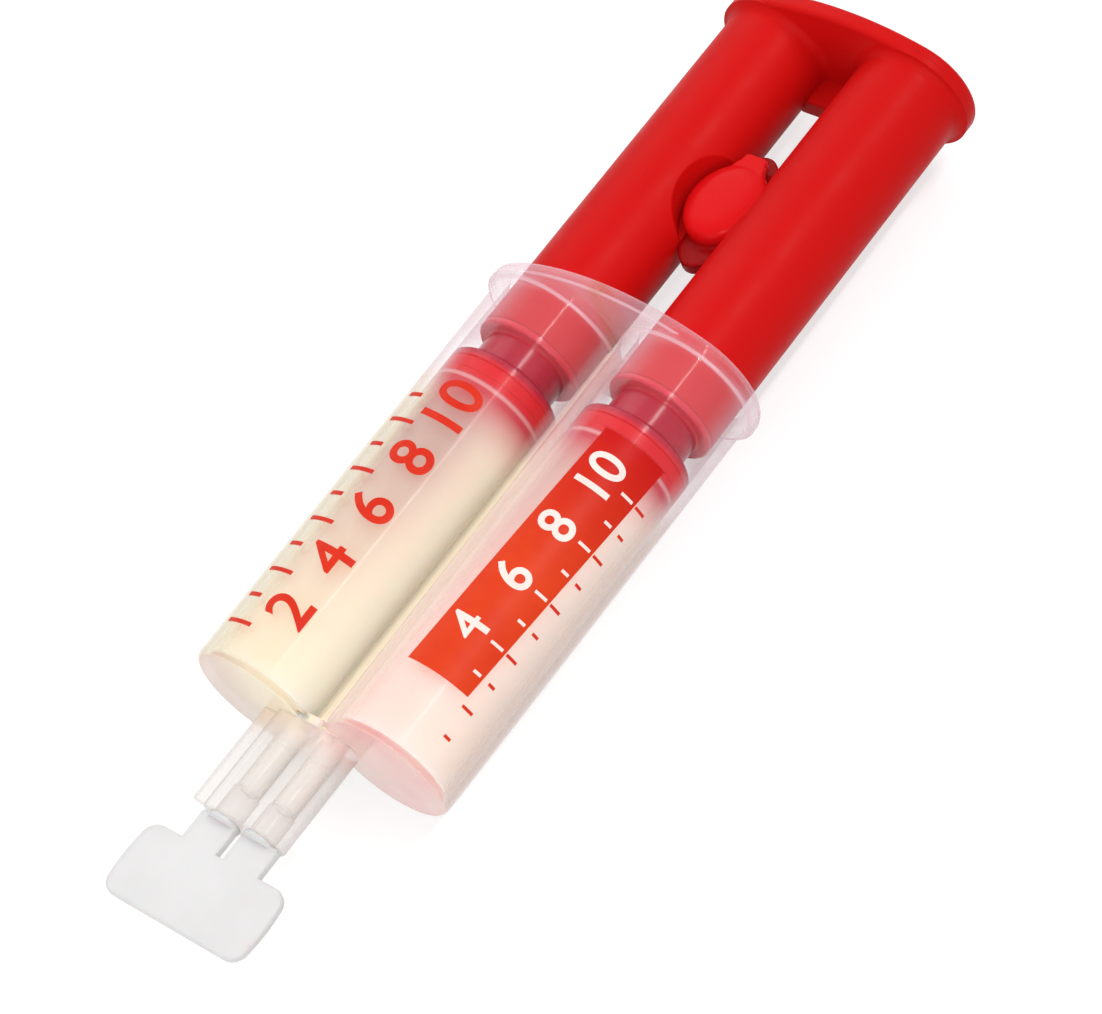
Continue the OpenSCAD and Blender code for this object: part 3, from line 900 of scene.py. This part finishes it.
def numerals(name, side, angle, lift, height, look, slot, skew=0.0, numbers=(2, 4, 6, 8, 10)):
    """Even numbers beside the marks, read toward the plunger, as one sheet."""
    all_points, all_faces = [], []
    for number in numbers:
        x = -END_WALL - number * MARK_STEP
        points, faces = numeral_mesh(str(number), height)
        start = len(all_points)
        for p in points:
            turn = angle + slant(x, skew) - math.degrees(p.y / FRONT_R)
            all_points.append(on_barrel(side, x - p.x, turn, lift))
        all_faces += [[start + i for i in face] for face in faces]
    return finish_piece(film(name, all_faces, all_points), "barrel", slot, look, shadow=False)


def ticks(name, angle, length, look, slot, lift, numbers):
    """Short lines across the right barrel that start at an angle, one to each unit."""
    points, faces = [], []
    steps = 6
    for number in numbers:
        x = -END_WALL - number * MARK_STEP
        reach = length if number % 2 == 0 else length * SHORT_TICK
        start = len(points)
        for i in range(steps + 1):
            turn = angle + slant(x, LABEL_SKEW) - math.degrees(reach / FRONT_R) * i / steps
            for edge in (-TICK_HALF, TICK_HALF):
                points.append(on_barrel(RIGHT, x + edge, turn, lift))
        for i in range(start, start + 2 * steps, 2):
            faces.append([i, i + 1, i + 3, i + 2])
    return finish_piece(film(name, faces, points), "barrel", slot, look, shadow=False)


def printing():
    """Scale marks and numerals on the left barrel, and the label with its own on the right one."""
    marks = frame["nodes"]["dose_scale"]
    marks.data.materials.clear()
    marks.data.materials.append(PRINT_RED)
    marks.visible_shadow = False
    numerals("scale_numerals", LEFT, NUMERAL_ANGLE, FILM_LIFT, NUMERAL_HEIGHT, PRINT_RED, "print_red")
    finish_piece(label_sheet(), "barrel", "print_red", LABEL_RED, ("label_panel",), shadow=False)
    numerals("label_numerals", RIGHT, LABEL_NUMERAL_ANGLE, ON_LABEL_LIFT, LABEL_NUMERAL_HEIGHT,
             PRINT_WHITE, None, LABEL_SKEW, (4, 6, 8, 10))
    ticks("label_ticks", LABEL_TICK_ANGLE, LABEL_TICK_LENGTH, PRINT_WHITE, None, ON_LABEL_LIFT, range(3, 11))
    ticks("fine_ticks", FINE_TICK_ANGLE, FINE_TICK_LENGTH, PRINT_RED, "print_red", FILM_LIFT, range(1, 11))


# Plunger body

def rod_outside(side):
    """One rod with a fillet into the thumb plate."""
    foot = PLATE_FRONT + ROD_FILLET
    sunk_x = PLATE_FRONT - PLATE_SUNK
    profile = [(ROD_FRONT, 0), (ROD_FRONT, ROD_R - ROD_EDGE), (ROD_FRONT - ROD_EDGE, ROD_R), (foot, ROD_R)]
    profile += flare(foot, ROD_R, ROD_FILLET)
    profile += [(sunk_x, ROD_R + ROD_FILLET), (sunk_x, 0)]
    return lathe("rod", profile, side * BARREL_Y)


def rod_core(side):
    """The hollow in the front of one rod, which takes the piston's stem."""
    front_x, back_x = ROD_FRONT + CUT_PAST, ROD_FRONT - ROD_CORE_DEPTH
    profile = [(front_x, 0), (front_x, ROD_CORE_R), (back_x, ROD_CORE_R), (back_x, 0)]
    return lathe("core", profile, side * BARREL_Y)


def plunger_body():
    """The red moulding: two cored rods, the web between them and the thumb plate."""
    plate = slab("plunger_body", bowed_oval(PLATE_W, PLATE_H, PLATE_END_R), PLATE_REAR, PLATE_FRONT,
                 across, PLATE_ROUND, PLATE_ROUND)
    parts = [rod_outside(side) for side in (LEFT, RIGHT)]
    parts.append(block("rod_web", PLATE_FRONT - PLATE_SUNK, PLATE_FRONT + ROD_WEB_LENGTH,
                       -BARREL_Y / 2, BARREL_Y / 2, ROD_WEB_LOW, ROD_WEB_TOP, ROD_WEB_ROUND))
    combine(plate, parts, "UNION")
    seat = [(STOPPER_X + a, b) for a, b in ellipse(KNOB_L + SEAT_END, KNOB_W + SEAT_SIDE)]
    cuts = [slab("seat", seat, SEAT_FLOOR, ROD_R + SEAT_OPEN, flat)]
    cuts += [rod_core(side) for side in (LEFT, RIGHT)]
    combine(plate, cuts, "DIFFERENCE")
    return finish_piece(plate, "plunger", "red_plastic", RED,
                        ("left_rod", "right_rod", "rod_web", "thumb_plate"))


def piston(side, name):
    """A piston with its nose, dish, sealing lip, waist, guide disc and stem."""
    soft = PISTON_SOFT
    dish = LIP_FRONT - DISH
    lip_low = LIP_R - LIP_EDGE
    lip_rear = LIP_FRONT - LIP_W
    waist = lip_rear - LIP_W / 2
    stem_r, stem_end = ROD_CORE_R - STEM_GAP, ROD_FRONT - STEM_LENGTH
    profile = [
        (PISTON_NOSE, 0), (PISTON_NOSE, NOSE_R - soft), (PISTON_NOSE - soft, NOSE_R),
        (dish + soft, NOSE_R + NOSE_FLARE * 0.8), (dish, NOSE_R + NOSE_FLARE + soft),
        (dish, lip_low - DISH / 2), (LIP_FRONT - soft, lip_low), (LIP_FRONT, lip_low + soft),
        (LIP_FRONT, LIP_R - soft), (LIP_FRONT - soft, LIP_R),
        (lip_rear + soft, LIP_R), (lip_rear, LIP_R - soft),
        (waist, WAIST_R + soft), (waist - soft, WAIST_R), (GUIDE_FRONT + soft, WAIST_R),
        (GUIDE_FRONT, WAIST_R + soft), (GUIDE_FRONT, ROD_R - soft), (GUIDE_FRONT - soft, ROD_R),
        (ROD_FRONT, ROD_R), (ROD_FRONT, stem_r), (stem_end, stem_r), (stem_end, 0)]
    moulded = lathe(name + "_moulded", profile, side * BARREL_Y)
    finish_piece(moulded, "plunger", "piston_red", PISTON_RED, (name,))


# Stopper and tab

def knob_rings(steps=14):
    """Outlines that close over the stopper's knob like a flat dome."""
    outline = ellipse(KNOB_L, KNOB_W)
    rings = [[(STOPPER_X + u, w, BASE_HALF - KNOB_SUNK) for u, w in outline]]
    for a in quarter(steps):
        share = math.cos(a * KNOB_CLOSED) ** KNOB_FLATNESS
        rise = math.sin(a * KNOB_CLOSED) ** KNOB_FLATNESS
        z = KNOB_BROW + (KNOB_TOP - KNOB_BROW) * rise
        rings.append([(STOPPER_X + u * share, w * share, z) for u, w in outline])
    return rings


def tongue_outline():
    """The stopper's pull tongue in plan: round at its tip and wider where it meets the knob."""
    tip = STOPPER_X - KNOB_L - TONGUE_LENGTH
    inner = STOPPER_X - KNOB_L / 2
    narrow, wide = tip + TONGUE_LENGTH * 0.7, tip + TONGUE_LENGTH * 1.3
    corner = TONGUE_CORNER
    return (arc(tip + corner, -TONGUE_W + corner, corner, 180, 270, 6)
            + [(narrow, -TONGUE_W), (wide, -TONGUE_W - TONGUE_FLARE), (inner, -TONGUE_W - TONGUE_FOOT),
               (inner, TONGUE_W + TONGUE_FOOT), (wide, TONGUE_W + TONGUE_FLARE), (narrow, TONGUE_W)]
            + arc(tip + corner, TONGUE_W - corner, corner, 90, 180, 6))


def stopper():
    """Knob, pull tongue, base plate and two plugs in one soft-cornered moulding."""
    knob = loft("stopper_moulded", knob_rings())
    base = [(STOPPER_X + u, max(-BASE_SIDE, min(BASE_SIDE, w))) for u, w in ellipse(BASE_L, BASE_W)]
    parts = [slab("base", base, -BASE_HALF, BASE_HALF, flat),
             slab("tongue", tongue_outline(), TONGUE_TOP - TONGUE_T, TONGUE_TOP, flat)]
    plug_r = MOUTH_R - PLUG_GAP
    for side in (LEFT, RIGHT):
        plug = [(STOPPER_X + side * CHANNEL_Y + a, b) for a, b in ellipse(plug_r, plug_r, 48)]
        parts.append(slab("plug", plug, -BASE_HALF - PLUG_LENGTH, 0, flat, PLUG_ROUND, 0))
    combine(knob, parts, "UNION")
    melt(knob, SKIN_VOXEL, SKIN_PASSES)
    return finish_piece(knob, "stopper", "red_plastic", STOPPER_RED, ("stopper_cap",), 180)


def tab_outline(steps=8):
    """The tab in plan: bowed ends and round corners."""
    length = TAB_END - TAB_ROOT
    end_r = ((length / 2) ** 2 + TAB_BOW ** 2) / (2 * TAB_BOW)
    lean = math.degrees(math.asin((length / 2 - TAB_CORNER) / (end_r - TAB_CORNER)))
    bow_y = TAB_W - end_r
    corner_y = bow_y + (end_r - TAB_CORNER) * math.cos(math.radians(lean))
    half = (arc(length - TAB_CORNER, corner_y, TAB_CORNER, 0, 90 - lean, steps)
            + arc(length / 2, bow_y, end_r, 90 - lean, 90 + lean, steps)
            + arc(TAB_CORNER, corner_y, TAB_CORNER, 90 + lean, 180, steps) + [(0, corner_y)])
    return [(TAB_ROOT + a, b) for a, b in half + [(length - a, -b) for a, b in half]]


def tab():
    """The milky break-off tab with its two necks and their collars."""
    plate = slab("tab_moulded", tab_outline(), -TAB_HALF, TAB_HALF, flat, TAB_ROUND, TAB_ROUND)
    parts = []
    for side in (LEFT, RIGHT):
        y0, y1 = sorted((side * NECK_SLOT, side * NECK_W))
        parts.append(block("neck", TAB_START + NECK_BACK, TAB_ROOT + NECK_SUNK, y0, y1,
                           -TAB_HALF, TAB_HALF, NECK_ROUND))
        ring = [(side * CHANNEL_Y + a, b) for a, b in ellipse(COLLAR_R, COLLAR_R, 48)]
        parts.append(slab("collar", ring, TAB_START, TAB_START + COLLAR_T, across, 0, COLLAR_ROUND))
    combine(plate, parts, "UNION")
    return finish_piece(plate, "tab", "milky_plastic", MILKY, ("break_off_tab",))


# Stage

FLOOR_SIZE, FLOOR_GREY, FLOOR_GLOW = 3, srgb(180, 180, 180), 0.66
WORLD_LIGHT, WORLD_SEEN = 0.56, 1.0
ORIGIN = (0, 0, 0)
# Each lamp: name, place, what it faces, size and power
LAMPS = (
    ("key", (-0.36, -0.5, 0.58), ORIGIN, (0.8, 0.6), 1.6),
    ("streak", (-0.28, 0.33, 0.62), ORIGIN, (0.45, 0.025), 1.6),
    ("flash", (0.202, 0.192, 0.379), ORIGIN, (0.03, 0.03), 0.42),
    ("fill", (0.5, 0.12, 0.12), (0, 0, AXIS_Z), (0.3, 0.2), 0.62),
)


def camera():
    """The camera at the photograph's viewing angle."""
    data = bpy.data.cameras.new("camera")
    data.sensor_width = 36
    data.lens = FOCAL_PIXELS / PHOTO_WIDTH * data.sensor_width
    data.clip_end = 10
    made = add_object("camera", data)
    where = Vector((FRONT_X, 0, AXIS_Z)) + Vector(CAMERA_AT) * MM
    made.matrix_world = turned(where, -Vector(CAMERA_FORWARD), CAMERA_RIGHT)
    bpy.context.scene.camera = made


def turned(where, back, right):
    """A matrix at where, whose +Z looks along back and whose +X lies as near to right as it can."""
    back = Vector(back).normalized()
    right = Vector(right)
    right = (right - back * right.dot(back)).normalized()
    turn = Matrix((right, back.cross(right), back)).transposed()
    return Matrix.Translation(where) @ turn.to_4x4()


def area_light(name, where, target, size, power):
    """A soft rectangular lamp at where, facing target; size is (along X, across)."""
    data = bpy.data.lights.new(name, "AREA")
    data.shape = "RECTANGLE"
    data.size, data.size_y = size
    data.energy = power
    made = add_object(name, data)
    made.matrix_world = turned(where, Vector(where) - Vector(target), (1, 0, 0))


def seen_directly(tree):
    """1 for rays that the camera sees straight, in a mirror or through glass, and 0 for light."""
    path = tree.nodes.new("ShaderNodeLightPath")
    total = path.outputs["Is Camera Ray"]
    for name in ("Is Glossy Ray", "Is Transmission Ray"):
        add = tree.nodes.new("ShaderNodeMath")
        add.operation = "MAXIMUM"
        tree.links.new(total, add.inputs[0])
        tree.links.new(path.outputs[name], add.inputs[1])
        total = add.outputs[0]
    return total


def floor():
    """A pale floor that looks white to the eye and keeps the shadow."""
    bm = bmesh.new()
    bmesh.ops.create_grid(bm, x_segments=1, y_segments=1, size=FLOOR_SIZE)
    made = solid_object("floor", bm)
    material = bpy.data.materials.new("floor")
    material.use_nodes = True
    tree = material.node_tree
    shader = tree.nodes["Principled BSDF"]
    shader.inputs["Base Color"].default_value = FLOOR_GREY
    shader.inputs["Roughness"].default_value = 0.9
    shader.inputs["Specular IOR Level"].default_value = 0.1
    glow = tree.nodes.new("ShaderNodeMath")
    glow.operation = "MULTIPLY"
    glow.inputs[1].default_value = FLOOR_GLOW
    tree.links.new(seen_directly(tree), glow.inputs[0])
    shader.inputs["Emission Color"].default_value = (1, 1, 1, 1)
    tree.links.new(glow.outputs[0], shader.inputs["Emission Strength"])
    made.data.materials.append(material)


def world():
    """Even light from all round, white where it is seen itself."""
    made = bpy.data.worlds.new("world")
    made.use_nodes = True
    tree = made.node_tree
    background = tree.nodes["Background"]
    background.inputs["Color"].default_value = (1, 1, 1, 1)
    strength = tree.nodes.new("ShaderNodeMapRange")
    strength.inputs["To Min"].default_value = WORLD_LIGHT
    strength.inputs["To Max"].default_value = WORLD_SEEN
    tree.links.new(seen_directly(tree), strength.inputs["Value"])
    tree.links.new(strength.outputs["Result"], background.inputs["Strength"])
    bpy.context.scene.world = made


barrel_shell()
for barrel in (LEFT, RIGHT):
    fluid(barrel)
printing()
plunger_body()
piston(LEFT, "left_piston")
piston(RIGHT, "right_piston")
stopper()
tab()
floor()
world()
camera()
for lamp in LAMPS:
    area_light(*lamp)
bpy.context.scene.view_settings.view_transform = "Standard"
